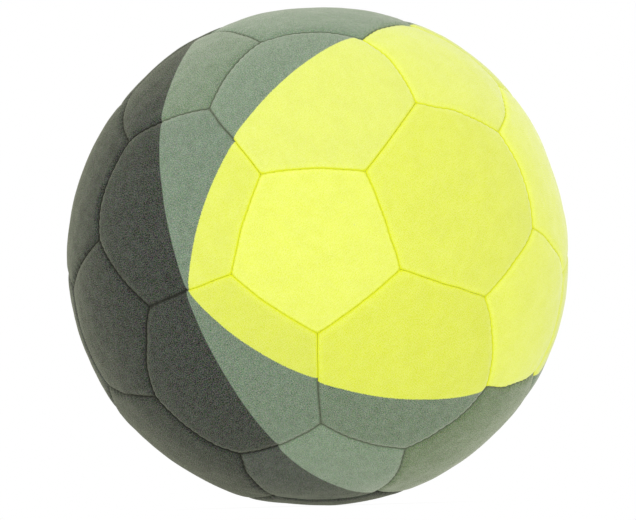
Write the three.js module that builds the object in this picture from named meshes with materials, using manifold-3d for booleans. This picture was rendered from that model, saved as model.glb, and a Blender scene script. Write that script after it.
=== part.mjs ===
// Indoor soccer ball: thirty-two felt panels, sewn edge to edge over a rubber bladder with a needle valve.
// Millimetres, +Z up, origin at the centre of the ball. The front pentagon looks along -Y with one corner
// straight down, and the valve is in the pentagon opposite to it, on +Y.
import * as THREE from "three";
import { mergeVertices } from "three/addons/utils/BufferGeometryUtils.js";
import Module from "manifold-3d";

const wasm = await Module();
wasm.setup();

// Driving dimensions

const clearance = 0.3; // between pieces that touch on the real ball

const ballRadius = 110; // to the crown of a panel: size 5, 0.69 m round
const panelThickness = 4; // felt face, foam and backing cloth together
const rollWidth = 3.4; // breadth of the round edge where a panel turns into the seam
const rollDrop = 1.05; // fall of the felt over that round edge
const shoulderDrop = 0.1; // fall of the crown by the time the turn starts
const shoulderWidth = 8; // breadth of that fall, measured from the seam
const cornerDip = 0.85; // how much deeper the thread pulls the corners than the middle of a seam
const allowanceThickness = 2; // the turned-in edge, pressed thin by the stitches
const allowanceReach = 2.8; // how far the turned-in edge stands out behind the panel

const threadRadius = 0.4; // waxed thread
const edgeSteps = 3; // stretches that make up one seam

const bladderWall = 1.2;
const bladderDetail = 3; // times that the sides of the bladder's icosahedron are cut

const collarRadius = 5; // the round rubber face that shows in the valve hole
const valveRecess = 1.2; // from the crown down to that face
const valveFlangeRadius = 14;
const valveFlangeThickness = 1.5;
const valveFlangeRim = 0.6; // the flange thins out to this at its edge
const barrelRadius = 4.2;
const barrelReach = 9; // of the barrel, below the flange's underside
const plugHeadRadius = 3.6;
const plugHeadThickness = 1.6;
const plugStemRadius = 2.5;
const plugStemLength = 12;
const needleRadius = 0.6; // the channel that a pump needle opens
const needleFunnelRadius = 1.3;
const needleFunnelDepth = 1;
const needleDepth = 11;
const patchRadius = 16;
const patchThickness = 0.6;
const valveSegments = 20;

// Sizes that follow from them

const halfGap = clearance / 2;
const channelDepth = threadRadius + 1.6 * clearance; // each edge's half of the channel for the thread
const rollEnd = shoulderDrop + rollDrop;
const threadDepth = rollEnd + channelDepth;
const allowanceDepth = Math.max(panelThickness, threadDepth + channelDepth) + allowanceReach;
const valveStack = patchThickness + valveFlangeThickness + 3 * clearance;
const bladderRadius = ballRadius - Math.max(allowanceDepth + clearance, panelThickness + valveStack);
const valveFace = ballRadius - valveRecess;
const holeRadius = collarRadius + clearance;

// Felt, thread and rubber

function cloth(color) {
  return () => new THREE.MeshStandardMaterial({ color, roughness: 0.95, metalness: 0 });
}
const yellowFelt = cloth(0xeef768);
const greenFelt = cloth(0x819380);
const darkFelt = cloth(0x4a4f48);
const patchCloth = cloth(0xd8d6cc);
const waxedThread = () => new THREE.MeshStandardMaterial({ color: 0x3b3f3a, roughness: 0.6 });
const blackRubber = () => new THREE.MeshStandardMaterial({ color: 0x1d1e1f, roughness: 0.7 });

// The ball's pattern: an icosahedron whose twelve corners are cut off to pentagons.
// Its corners lie on -Y, on +Y and on a ring of five round each.

function pentagonCentres() {
  const level = 1 / Math.sqrt(5);
  const reach = 2 / Math.sqrt(5);
  const centres = [{ name: "pentagon_front", at: new THREE.Vector3(0, -1, 0) }];
  for (let i = 0; i < 5; i += 1) {
    const turn = (i * 2 * Math.PI) / 5;
    const x = -reach * Math.sin(turn);
    const z = -reach * Math.cos(turn);
    centres.push({ name: `pentagon_front_ring_${i + 1}`, at: new THREE.Vector3(x, -level, z) });
    centres.push({ name: `pentagon_rear_ring_${i + 1}`, at: new THREE.Vector3(x, level, -z) });
  }
  centres.push({ name: "pentagon_valve", at: new THREE.Vector3(0, 1, 0) });
  return centres;
}

const neighbourCosine = 1 / Math.sqrt(5);
const areNeighbours = (a, b) => Math.abs(a.dot(b) - neighbourCosine) < 1e-6;

// The corner of the pattern that is nearest to a on the line from a to b.
const patternCorner = (a, b) => a.clone().multiplyScalar(2).add(b).normalize();

// Angle round the ball's front-to-back line, from straight down and clockwise as seen from the front.
function turnFromBottom(direction) {
  const turn = Math.atan2(-direction.x, -direction.z);
  return turn < -1e-6 ? turn + 2 * Math.PI : turn;
}

// Corners in order, anticlockwise as seen from outside the ball.
function inOrder(centre, corners) {
  const right = new THREE.Vector3(0, 0, 1).cross(centre);
  if (right.lengthSq() < 1e-6) right.set(1, 0, 0);
  right.normalize();
  const up = centre.clone().cross(right);
  const angle = (corner) => Math.atan2(corner.dot(up), corner.dot(right));
  return [...corners].sort((a, b) => angle(a) - angle(b));
}

function hexagonCentres(pentagons) {
  const groups = [];
  pentagons.forEach((a, i) => {
    pentagons.slice(i + 1).forEach((b, j) => {
      pentagons.slice(i + j + 2).forEach((c) => {
        const three = [a.at, b.at, c.at];
        if (!areNeighbours(a.at, b.at) || !areNeighbours(b.at, c.at) || !areNeighbours(a.at, c.at)) return;
        const at = new THREE.Vector3();
        three.forEach((p) => at.add(p));
        groups.push({ at: at.normalize(), three });
      });
    });
  });
  // Four rings of five from the front to the back, each numbered from the bottom.
  groups.sort((a, b) => a.at.y - b.at.y);
  const rings = ["front", "front_ring", "rear_ring", "rear"];
  return rings.flatMap((ring, r) => {
    const five = groups.slice(5 * r, 5 * r + 5);
    five.sort((a, b) => turnFromBottom(a.at) - turnFromBottom(b.at));
    return five.map((group, i) => ({ name: `hexagon_${ring}_${i + 1}`, ...group }));
  });
}

function patternOutlines() {
  const pentagons = pentagonCentres();
  const outlines = pentagons.map(({ name, at }) => {
    const around = pentagons.filter((other) => areNeighbours(at, other.at));
    return { name, centre: at, corners: inOrder(at, around.map((other) => patternCorner(at, other.at))) };
  });
  hexagonCentres(pentagons).forEach(({ name, at, three }) => {
    const corners = three.flatMap((a) => three.filter((b) => b !== a).map((b) => patternCorner(a, b)));
    outlines.push({ name, centre: at, corners: inOrder(at, corners) });
  });
  return outlines;
}

// Lofts: closed skins through rings of points. A ring may be a single point, and it may have one point
// for every few of the next ring's.

function loft(rings) {
  const faces = [];
  for (let r = 0; r + 1 < rings.length; r += 1) {
    const before = rings[r];
    const after = rings[r + 1];
    const count = Math.max(before.length, after.length);
    const pick = (ring, i) => ring[Math.round((i * ring.length) / count) % ring.length];
    for (let i = 0; i < count; i += 1) {
      const a = pick(before, i);
      const nextA = pick(before, i + 1);
      const b = pick(after, i);
      const nextB = pick(after, i + 1);
      if (b !== nextB) faces.push(b, nextB, a);
      if (a !== nextA) faces.push(nextB, nextA, a);
    }
  }
  return new THREE.BufferGeometry().setFromPoints(faces);
}

// Panels

// How far the seam dips below its middle, at a share t of the way along it.
const dipAlongSeam = (t) => cornerDip * (1 - Math.sin(Math.PI * t));

// Stations along a panel's outline: where each lies and how deep the seam dips there.
function outlineStations(corners, steps) {
  return corners.flatMap((corner, k) => {
    const next = corners[(k + 1) % corners.length];
    return Array.from({ length: steps }, (_, i) => {
      const t = i / steps;
      return { direction: corner.clone().lerp(next, t).normalize(), dip: dipAlongSeam(t) };
    });
  });
}

// A panel's section, from where the crown starts to fall, round the turned edge and in to the backing.
// inset is measured from the seam, depth from the crown, and dipShare says how much of the dip it takes.
function panelSection() {
  const arcPoint = (angle) => ({
    inset: halfGap + rollWidth * (1 - Math.cos(angle)),
    depth: shoulderDrop + rollDrop * (1 - Math.sin(angle)),
    dipShare: 1,
  });
  const tip = halfGap + allowanceThickness;
  return [
    { inset: shoulderWidth, depth: 0, dipShare: 0.25 },
    arcPoint(Math.PI / 2),
    arcPoint(Math.PI / 4),
    arcPoint(0),
    { inset: halfGap + channelDepth, depth: threadDepth, dipShare: 1 },
    { inset: halfGap, depth: threadDepth + channelDepth, dipShare: 1 },
    { inset: halfGap, depth: allowanceDepth, dipShare: 0 },
    { inset: tip, depth: allowanceDepth, dipShare: 0 },
    { inset: tip, depth: panelThickness, dipShare: 1 },
  ];
}

function panelGeometry({ centre, corners }) {
  const middle = corners[0].clone().add(corners[1]).normalize();
  const inradius = Math.acos(centre.dot(middle));
  const stations = outlineStations(corners, edgeSteps);
  const cornerStations = outlineStations(corners, 1);

  // A ring parallel to the outline: the flat polygon in front of the panel, shrunk towards its centre.
  const ring = (from, { inset, depth, dipShare }) => {
    const shrink = Math.tan(inradius - inset / ballRadius) / Math.tan(inradius);
    return from.map(({ direction, dip }) => {
      const flat = direction.clone().divideScalar(direction.dot(centre));
      const moved = centre.clone().lerp(flat, shrink).normalize();
      return moved.multiplyScalar(ballRadius - depth - dip * dipShare);
    });
  };
  const pole = (depth) => [centre.clone().multiplyScalar(ballRadius - depth)];
  const halfWay = (inradius * ballRadius) / 2;
  return loft([
    pole(0),
    ring(stations, { inset: halfWay, depth: 0, dipShare: 0 }),
    ...panelSection().map((point) => ring(stations, point)),
    ring(cornerStations, { inset: halfWay, depth: panelThickness, dipShare: 0 }),
    pole(panelThickness),
  ]);
}

// Cutting and joining

function solid(geometry) {
  const bare = geometry.clone();
  Object.keys(bare.attributes).forEach((name) => {
    if (name !== "position") bare.deleteAttribute(name);
  });
  const merged = mergeVertices(bare, 1e-3);
  return new wasm.Manifold(
    new wasm.Mesh({
      numProp: 3,
      vertProperties: merged.attributes.position.array,
      triVerts: new Uint32Array(merged.index.array),
    }),
  );
}

function geometryOf(manifold) {
  const { vertProperties, triVerts } = manifold.getMesh();
  const geometry = new THREE.BufferGeometry();
  geometry.setAttribute("position", new THREE.BufferAttribute(vertProperties, 3));
  geometry.setIndex(new THREE.BufferAttribute(triVerts, 1));
  return geometry;
}

// A turned piece on the valve's axis, +Y. Each point is [distance from the axis, distance from the centre].
function turned(profile) {
  const points = [...profile, profile[0]].map(([x, y]) => new THREE.Vector2(x, y));
  return new THREE.LatheGeometry(points, valveSegments);
}

// Height over the valve's axis of a ball of that radius, at a distance out from the axis.
const heightOn = (radius, out) => Math.sqrt(radius * radius - out * out);

// Valve

const patchTop = ballRadius - panelThickness - clearance;
const patchUnder = patchTop - patchThickness;
const flangeUnder = bladderRadius + clearance;
const plugHeadUnder = valveFace - plugHeadThickness;

function valvePatchProfile(margin) {
  const inner = holeRadius - margin;
  const outer = patchRadius + margin;
  const middle = (inner + outer) / 2;
  const top = patchTop + margin;
  const under = patchUnder - margin;
  return [
    [inner, heightOn(under, inner)],
    [middle, heightOn(under, middle)],
    [outer, heightOn(under, outer)],
    [outer, heightOn(top, outer)],
    [middle, heightOn(top, middle)],
    [inner, heightOn(top, inner)],
  ];
}

function valveBodyGeometry() {
  const bore = plugStemRadius + clearance;
  const headBore = plugHeadRadius + clearance;
  const barrelEnd = flangeUnder - barrelReach;
  const middle = (barrelRadius + valveFlangeRadius) / 2;
  const flangeTop = flangeUnder + valveFlangeThickness;
  const rimTop = flangeUnder + valveFlangeRim;
  return turned([
    [bore, barrelEnd],
    [barrelRadius, barrelEnd],
    [barrelRadius, heightOn(flangeUnder, barrelRadius)],
    [middle, heightOn(flangeUnder, middle)],
    [valveFlangeRadius, heightOn(flangeUnder, valveFlangeRadius)],
    [valveFlangeRadius, heightOn(rimTop, valveFlangeRadius)],
    [collarRadius, heightOn(flangeTop, collarRadius)],
    [collarRadius, valveFace],
    [headBore, valveFace],
    [headBore, plugHeadUnder - clearance],
    [bore, plugHeadUnder - clearance],
  ]);
}

function valvePlugGeometry() {
  const stemEnd = plugHeadUnder - plugStemLength;
  const points = [
    [0, stemEnd],
    [plugStemRadius, stemEnd],
    [plugStemRadius, plugHeadUnder],
    [plugHeadRadius, plugHeadUnder],
    [plugHeadRadius, valveFace],
    [needleFunnelRadius, valveFace],
    [needleRadius, valveFace - needleFunnelDepth],
    [needleRadius, valveFace - needleDepth],
    [0, valveFace - needleDepth],
  ].map(([x, y]) => new THREE.Vector2(x, y));
  return new THREE.LatheGeometry(points, valveSegments);
}

// The panel with the valve: its hole, and the pressed seat of the patch behind it.
function valvePanelGeometry(outline) {
  const hole = new THREE.CylinderGeometry(holeRadius, holeRadius, ballRadius, valveSegments);
  hole.translate(0, ballRadius, 0);
  const seat = solid(turned(valvePatchProfile(clearance)));
  return geometryOf(solid(panelGeometry(outline)).subtract(seat).subtract(solid(hole)));
}

// Bladder: a rubber shell, open where the valve's barrel goes through it.
function bladderGeometry() {
  const shell = solid(new THREE.IcosahedronGeometry(bladderRadius, bladderDetail));
  const hollow = solid(new THREE.IcosahedronGeometry(bladderRadius - bladderWall, bladderDetail));
  const throat = barrelRadius + clearance;
  const opening = new THREE.CylinderGeometry(throat, throat, bladderRadius, valveSegments);
  opening.translate(0, bladderRadius, 0);
  return geometryOf(shell.subtract(hollow).subtract(solid(opening)));
}

// Thread: one run along each seam, in the channel between the two turned-in edges, joined at the corners.
function seamRunGeometry(from, to) {
  const across = from.clone().cross(to).normalize().multiplyScalar(threadRadius);
  const along = to.clone().sub(from).normalize().multiplyScalar(threadRadius / 2);
  const place = (t) => {
    const direction = from.clone().lerp(to, t).normalize();
    const radius = ballRadius - threadDepth - dipAlongSeam(t);
    return { direction, at: direction.clone().multiplyScalar(radius) };
  };
  const rings = Array.from({ length: edgeSteps + 1 }, (_, i) => {
    const { direction, at } = place(i / edgeSteps);
    const out = direction.multiplyScalar(threadRadius);
    return [at.clone().add(out), at.clone().add(across), at.clone().sub(out), at.clone().sub(across)];
  });
  return loft([[place(0).at.sub(along)], ...rings, [place(1).at.add(along)]]);
}

function seamThreadGeometry(outlines) {
  const runs = [];
  outlines.forEach(({ corners }, i) => {
    corners.forEach((from, k) => {
      const to = corners[(k + 1) % corners.length];
      const shared = outlines.slice(i + 1).some((other) => {
        const near = (point) => other.corners.some((corner) => corner.distanceTo(point) < 1e-6);
        return near(from) && near(to);
      });
      if (shared) runs.push(solid(seamRunGeometry(from, to)));
    });
  });
  return geometryOf(wasm.Manifold.union(runs));
}

// The print: a yellow field and a dark field on green felt. Each lies inside round caps on the ball, given by
// where their middles are, in degrees to the right of the front pentagon and up from it, and by their reach.
const yellowField = [
  { right: 48, up: -16, reach: 77 },
  { right: 36, up: 44, reach: 81 },
];
const darkField = [{ right: -123, up: -16, reach: 90 }];

function isInside(field, direction) {
  return field.every((cap) => {
    const [right, up, reach] = [cap.right, cap.up, cap.reach].map(THREE.MathUtils.degToRad);
    const level = Math.cos(up);
    const middle = new THREE.Vector3(Math.sin(right) * level, -Math.cos(right) * level, Math.sin(up));
    return middle.angleTo(direction) < reach;
  });
}

// A panel has one colour here: that of the field which its middle lies in.
function feltAt(direction) {
  if (isInside(yellowField, direction)) return yellowFelt();
  return isInside(darkField, direction) ? darkFelt() : greenFelt();
}

// The ball

const ball = new THREE.Group();
ball.name = "indoor_soccer_ball";

function add(name, geometry, material) {
  geometry.computeVertexNormals();
  const mesh = new THREE.Mesh(geometry, material);
  mesh.name = name;
  ball.add(mesh);
}

const outlines = patternOutlines();
outlines.forEach((outline) => {
  const shape = outline.name === "pentagon_valve" ? valvePanelGeometry : panelGeometry;
  add(outline.name, shape(outline), feltAt(outline.centre));
});
add("seam_thread", seamThreadGeometry(outlines), waxedThread());
add("bladder", bladderGeometry(), blackRubber());
add("valve_body", valveBodyGeometry(), blackRubber());
add("valve_plug", valvePlugGeometry(), blackRubber());
add("valve_patch", turned(valvePatchProfile(0)), patchCloth());

export default ball;
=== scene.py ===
# %% [markdown]
# # A felt indoor soccer ball
# The real ball is thirty-two panels of felt on foam and cloth, twelve pentagons and twenty hexagons.
# They are sewn edge to edge, inside out, over a rubber bladder. The packed model already holds every
# piece at its real size. This lesson gives the pieces their looks: it sews soft panels that the thread
# pulls in at the seams, prints three fields of colour on them, and lights them on a white floor.

import itertools
import math

import bpy
import numpy as np
from mathutils import Matrix, Vector


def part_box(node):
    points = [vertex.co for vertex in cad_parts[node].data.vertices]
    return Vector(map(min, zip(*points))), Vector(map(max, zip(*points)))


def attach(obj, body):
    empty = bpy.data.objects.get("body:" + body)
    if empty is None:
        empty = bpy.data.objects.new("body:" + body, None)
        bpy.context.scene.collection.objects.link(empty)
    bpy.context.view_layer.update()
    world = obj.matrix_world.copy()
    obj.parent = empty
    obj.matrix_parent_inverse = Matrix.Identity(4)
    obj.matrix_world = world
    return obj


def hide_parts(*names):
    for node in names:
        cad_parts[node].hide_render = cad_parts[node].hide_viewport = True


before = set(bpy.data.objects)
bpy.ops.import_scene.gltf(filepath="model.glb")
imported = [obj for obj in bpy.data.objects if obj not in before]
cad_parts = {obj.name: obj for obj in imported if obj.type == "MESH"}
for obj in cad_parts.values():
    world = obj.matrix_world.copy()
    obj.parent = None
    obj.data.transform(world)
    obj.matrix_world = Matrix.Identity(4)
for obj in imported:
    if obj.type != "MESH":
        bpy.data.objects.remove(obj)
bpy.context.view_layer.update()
BODY = "root"
print("The packed ball has", len(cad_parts), "nodes")

# %% [markdown]
# ## Sizes
# All lengths are real ones, in metres. The ball's radius is read from the packed front pentagon, whose
# crown lies on the ball. The other values say how the felt behaves at a seam: the thread pulls the
# edges in, most of all at the corners where three seams meet.

# %% Sizes of the felt and its seams
MM = 0.001
BALL_RADIUS = -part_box("pentagon_front")[0].y
HALF_GAP = 0.04 * MM  # each panel's distance from the middle of a seam
EDGE_DROP = 1 * MM  # how far the edge of a panel rolls down into the seam
EDGE_WIDTH = 4 * MM  # how far in from the seam the roll begins
EDGE_POWER = 2.3
VALLEY_DEPTH = 0.3 * MM  # how far a seam pulls the felt beside it down
VALLEY_WIDTH = 8 * MM
DIMPLE_DEPTH = 0.75 * MM  # how much further the corners are pulled down
DIMPLE_WIDTH = 9 * MM
CORNER_ROUNDING = 0.45 * MM
STITCH_PITCH = 3.8 * MM
STITCH_DEPTH = 0.34 * MM
STITCH_WIDTH = 1.8 * MM
SEAM_WANDER = 0.22 * MM  # how far a seam strays from its straight line
USUAL_BOW = 0.3 * MM  # how far the middle of a seam out of view lies to one side
WANDER_WIDTH = 5 * MM
BOW_WIDTH = 14 * MM  # how far from a bowed seam the cloth moves with it
PANEL_THICKNESS = 4 * MM
CHANNEL = 0.88 * MM  # each edge's half of the channel that the thread lies in
ALLOWANCE_DEPTH = 6.4 * MM
ALLOWANCE_THICKNESS = 2 * MM


def print_mm(words, length):
    print(words, round(float(length) / MM, 2), "mm")


print_mm("Radius to the crown:", BALL_RADIUS)

# %% [markdown]
# ## The pattern
# A ball of this kind is an icosahedron with its twelve corners cut off. Each cut gives a pentagon, and
# what is left of each face gives a hexagon. Only the twelve corner directions are written down here.
# The others follow from which of them are neighbours.

# %% Directions on the ball


def unit(vector):
    return vector / np.linalg.norm(vector, axis=-1, keepdims=True)


def globe(east, north):
    """The direction so many degrees to the right of the front pentagon's middle, and up from it."""
    east, north = math.radians(east), math.radians(north)
    flat = math.cos(north)
    return np.array([math.sin(east) * flat, -math.cos(east) * flat, math.sin(north)])


def pentagon_centres():
    """Front, rear, and a ring of five round each."""
    level, reach = 1 / math.sqrt(5), 2 / math.sqrt(5)
    centres = [(0, -1, 0), (0, 1, 0)]
    for i in range(5):
        turn = math.radians(72 * i)
        x, z = reach * math.sin(turn), reach * math.cos(turn)
        centres += [(x, level, z), (-x, -level, -z)]
    return np.array(centres)


CENTRES = pentagon_centres()
NEIGHBOURS = np.isclose(CENTRES @ CENTRES.T, 1 / math.sqrt(5))
print("Pentagons:", len(CENTRES), "with", int(NEIGHBOURS.sum(axis=1)[0]), "neighbours each")

# %% Outlines of the thirty-two panels
ASIDE = (0.3, 0.2, 1)  # no panel's middle lies this way


def in_order(centre, corners):
    """Corners sorted anticlockwise, as seen from outside the ball."""
    right = np.cross(ASIDE, centre)
    up = np.cross(centre, right)
    corners = np.array(corners)
    return corners[np.argsort(np.arctan2(corners @ up, corners @ right))]


def corner_near(a, b):
    return unit(2 * a + b)


def outlines():
    """Each panel's middle and its corners."""
    found = []
    for i, middle in enumerate(CENTRES):
        around = [corner_near(middle, CENTRES[j]) for j in np.flatnonzero(NEIGHBOURS[i])]
        found.append((middle, in_order(middle, around)))
    for three in itertools.combinations(range(len(CENTRES)), 3):
        if all(NEIGHBOURS[pair] for pair in itertools.combinations(three, 2)):
            pentagons = CENTRES[list(three)]
            middle = unit(pentagons.sum(axis=0))
            around = [corner_near(a, b) for a, b in itertools.permutations(pentagons, 2)]
            found.append((middle, in_order(middle, around)))
    return found


def sides(corners):
    """Each corner with the next one round."""
    return zip(corners, np.roll(corners, -1, axis=0))


print("Panels:", len(outlines()))

# %% [markdown]
# ## Seams
# A seam belongs to two panels, so what happens along it has to be the same for both: the places of the
# stitches, and the little wander of a line sewn by hand. Each seam gets its own random numbers, drawn
# in a fixed order, and each panel only looks up its seams.

# %% The ninety seams
SEAM_SEED = 32
HALF_WAVES = (1.95, 3.25, 4.55, 5.85)  # that a seam wanders in, from end to end
WAVE_FADE = (1, 1.4, 2, 2.6)  # how much weaker the finer ones are
WANDER_POWER = 0.7
STITCH_PULLS = (0.55, 1.25)  # of the loosest and of the tightest
STITCH_SHARPNESS = 1.5
SEAM_DEPTHS = (0.75, 1.25)


def hump(distance, width):
    """Falls from 1 to nearly nothing over twice that width."""
    return np.exp(-((distance / width) ** 2))


class Seam:
    """A line of stitches from one corner to another."""

    def __init__(self, start, end, rng):
        self.start, self.end = start, end
        self.across = unit(np.cross(start, end))
        self.ahead = np.cross(self.across, start)
        self.angle = math.acos(start @ end)
        self.stitches = round(self.angle * BALL_RADIUS / STITCH_PITCH)
        swings = rng.normal(size=len(WAVE_FADE)) / WAVE_FADE
        self.waves = list(zip(HALF_WAVES, swings, rng.uniform(0, 2 * math.pi, len(swings))))
        self.pulls = rng.uniform(*STITCH_PULLS, self.stitches + 2)
        self.depth = rng.uniform(*SEAM_DEPTHS)
        self.bow = rng.normal() * USUAL_BOW

    def joins(self, start, end):
        """Whether the seam lies between those two corners, either way."""
        return np.allclose(self.start + self.end, start + end)

    def along(self, directions):
        """How far along the seam each direction lies, from 0 to 1."""
        return np.arctan2(directions @ self.ahead, directions @ self.start) / self.angle

    def sideways(self, share, distance):
        """How far the cloth moves sideways at that distance from the seam, in metres. Corners stay."""
        share = np.clip(share, 0, 1)
        middle = np.sin(math.pi * share)
        waves = [swing * np.sin(count * math.pi * share + phase) for count, swing, phase in self.waves]
        wander = SEAM_WANDER * sum(waves) * middle**WANDER_POWER
        return wander * hump(distance, WANDER_WIDTH) + self.bow * middle * hump(distance, BOW_WIDTH)

    def pull(self, share):
        """How hard the nearest stitch pulls, from 0 between two stitches to about 1 on one."""
        place = np.clip(share, 0, 1) * self.stitches
        strength = np.interp(place, np.arange(len(self.pulls)) - 0.5, self.pulls)
        return strength * (0.5 - 0.5 * np.cos(2 * math.pi * place)) ** STITCH_SHARPNESS


def find_seams(found):
    rng = np.random.default_rng(SEAM_SEED)
    seams = []
    for _, corners in found:
        for start, end in sides(corners):
            if not any(seam.joins(start, end) for seam in seams):
                seams.append(Seam(start, end, rng))
    return seams


SEAMS = find_seams(outlines())
print("Seams:", len(SEAMS), "with", SEAMS[0].stitches, "stitches each")

# %% [markdown]
# ## Panels by name
# The packed nodes carry the names that a person would use. Each outline takes the name of the node that
# lies in the same direction, so nothing has to be numbered twice.

# %% Pair each outline with its node
STEEP = 0.9  # above and below this, a panel's right is +X


class Panel:
    """One felt panel: its outline, its seams and the flat plane in front of it."""

    def __init__(self, name, centre, corners):
        self.name, self.centre, self.corners = name, centre, corners
        level = np.cross((0, 0, 1), centre)
        self.right = unit(level) if abs(centre[2]) < STEEP else np.array((1.0, 0, 0))
        self.up = np.cross(centre, self.right)
        scaled = corners / (corners @ centre)[:, None]
        self.flat_corners = np.column_stack([scaled @ self.right, scaled @ self.up])
        self.seams = []
        for start, end in sides(corners):
            seam = next(seam for seam in SEAMS if seam.joins(start, end))
            self.seams.append((unit(np.cross(start, end)), seam))
        self.inradius = math.asin(centre @ self.seams[0][0])

    def direction(self, flat):
        """The direction through a point of the flat plane."""
        return unit(self.centre + flat[..., :1] * self.right + flat[..., 1:] * self.up)

    def shrink(self, inset):
        """How much smaller the flat outline is at that distance in from the seams."""
        return math.tan(self.inradius - inset / BALL_RADIUS) / math.tan(self.inradius)


def name_panels(found):
    names = [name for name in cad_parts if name.startswith(("pentagon", "hexagon"))]
    boxes = [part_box(name) for name in names]
    directions = unit(np.array([low + high for low, high in boxes]))
    panels = [Panel(names[np.argmax(directions @ centre)], centre, corners) for centre, corners in found]
    return sorted(panels, key=lambda panel: panel.name)


PANELS = name_panels(outlines())
print("Named panels:", len(PANELS), "from", PANELS[0].name, "to", PANELS[-1].name)

# %% [markdown]
# Few seams are straight: a fuller panel pushes its seam towards its neighbour. The bows that can be seen
# are written down by their two panels' names. The others keep the small bow that they drew by chance.

# %% Seams that one panel pushes towards the other
BOWS = {  # millimetres, by the fuller panel and the one that it pushes
    "pentagon_front": {"hexagon_front_1": 0.8, "hexagon_front_3": 0.7, "hexagon_front_5": 0.3},
    "pentagon_front_ring_1": {"hexagon_front_ring_1": 1.7, "hexagon_front_ring_5": 1.2},
    "pentagon_front_ring_3": {"hexagon_front_ring_2": 1.8},
    "pentagon_front_ring_4": {"hexagon_front_ring_3": 2, "hexagon_front_ring_4": 2},
    "pentagon_front_ring_5": {"hexagon_front_ring_4": 1.2, "hexagon_front_ring_5": 1.1},
    "hexagon_front_1": {
        "pentagon_front_ring_1": 0.7,
        "pentagon_front_ring_2": 1.1,
        "hexagon_front_ring_1": 2.3,
    },
    "hexagon_front_2": {"pentagon_front_ring_3": 0.7, "hexagon_front_ring_2": 2.6},
    "hexagon_front_3": {
        "pentagon_front_ring_3": 1,
        "pentagon_front_ring_4": 1.7,
        "hexagon_front_4": 0.6,
        "hexagon_front_ring_3": 2,
    },
    "hexagon_front_4": {"hexagon_front_ring_4": 1.4},
    "hexagon_front_5": {
        "pentagon_front_ring_1": 0.7,
        "pentagon_front_ring_5": 1.2,
        "hexagon_front_ring_5": 1.6,
    },
}


def bow_seams():
    by_name = {panel.name: panel for panel in PANELS}
    for fuller, pushed in BOWS.items():
        own = [seam for _, seam in by_name[fuller].seams]
        for other, bow in pushed.items():
            inward, shared = next(pair for pair in by_name[other].seams if pair[1] in own)
            shared.bow = bow * MM * float(inward @ shared.across)


bow_seams()
print("Bowed seams:", sum(len(pushed) for pushed in BOWS.values()))

# %% [markdown]
# ## The soft surface
# Foam under felt bulges between its seams, and a simulation would find that shape. But the neighbours
# have to meet exactly along ninety shared seams, so the shape is written as a formula instead: how far
# the felt sinks below the crown, from its distance to the seams and corners round it. The parts are a
# shallow valley along each seam, a dimple at each corner, the rolled edge, and the pull of each stitch.
# The foam adds small lumps, and the whole ball some wide bulges and a sag, as its outline shows.

# %% Where a point lies among its seams


def away_from_seams(panel, directions):
    """Distance in from each of the panel's seams, one row for each seam."""
    rows = [np.arcsin(np.clip(directions @ inward, -1, 1)) for inward, _ in panel.seams]
    return np.array(rows) * BALL_RADIUS


def rounded(away):
    """Distance in from the outline when its corners are rounded off."""
    return -CORNER_ROUNDING * np.log(np.exp(-away / CORNER_ROUNDING).sum(axis=0))


print_mm("From crown to seam:", away_from_seams(PANELS[0], PANELS[0].centre[None]).min())

# %% How far the felt sinks there
FULL_VALLEY = 0.98  # the most of a valley's depth that one seam gives
DIMPLE_POWER = 1.3


def pulled_in(panel, directions):
    """How far the thread pulls the felt below the crown, in metres."""
    away = away_from_seams(panel, directions)
    depths = np.array([[seam.depth] for _, seam in panel.seams])
    valley = 1 - np.prod(1 - np.clip(depths * hump(away, VALLEY_WIDTH), 0, FULL_VALLEY), axis=0)
    corner = np.arccos(np.clip(panel.corners @ directions.T, -1, 1)) * BALL_RADIUS
    dimple = np.exp(-((corner / DIMPLE_WIDTH) ** DIMPLE_POWER)).sum(axis=0)
    pulls = np.array([seam.pull(seam.along(directions)) for _, seam in panel.seams])
    stitches = (pulls * hump(away, STITCH_WIDTH)).sum(axis=0)
    return VALLEY_DEPTH * valley + DIMPLE_DEPTH * dimple + STITCH_DEPTH * stitches


def rolled_over(inset):
    """How much further the rolled edge lies down so far in from the seam, in metres."""
    return EDGE_DROP * np.clip(1 - inset / EDGE_WIDTH, 0, None) ** EDGE_POWER


middle_of_seam = unit(PANELS[0].corners[:2].sum(axis=0))[None]
print_mm("Fall from crown to seam:", pulled_in(PANELS[0], middle_of_seam)[0])

# %% Lumps and bulges
RIPPLE_WAVES = 28
LUMPS = ((34, 0.16), (15, 0.07), (7, 0.025))  # millimetres, length and height
BULGES = (  # place in degrees round and up, height in millimetres, and width in degrees
    ((90, 56), 1.55, 19),  # the full panel at the upper right
    ((-90, 5), 1.1, 48),
    ((-90, -37), 0.5, 12),
    ((90, -80), -1.3, 30),  # the ball sags where it rests
    ((90, 12), -0.9, 13),
    ((-76, 62), 0.9, 15),
    ((74, 68), 0.6, 8),
    ((84, 40), 0.8, 9),
    ((-82, 37), 0.5, 9),
    ((-86, -5), 0.4, 7),
    ((-87, -35), 0.5, 8),
    ((-88, -70), 0.8, 8),
    ((90, -73), 0.6, 8),
    ((90, -46), -0.5, 9),
    ((88, -12), -0.5, 12),
)


def ripple(points, wavelength, seed):
    """Soft random waves over the ball, mostly between -1 and 1."""
    rng = np.random.default_rng(seed)
    headings = unit(rng.normal(size=(RIPPLE_WAVES, 3))) * (2 * math.pi / wavelength)
    phases = rng.uniform(0, 2 * math.pi, RIPPLE_WAVES)
    return np.sin(points @ headings.T + phases).sum(axis=1) / math.sqrt(RIPPLE_WAVES)


def lumps(directions):
    """The foam's unevenness, in metres."""
    points = directions * BALL_RADIUS / MM
    return MM * sum(height * ripple(points, length, seed) for seed, (length, height) in enumerate(LUMPS))


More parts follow.
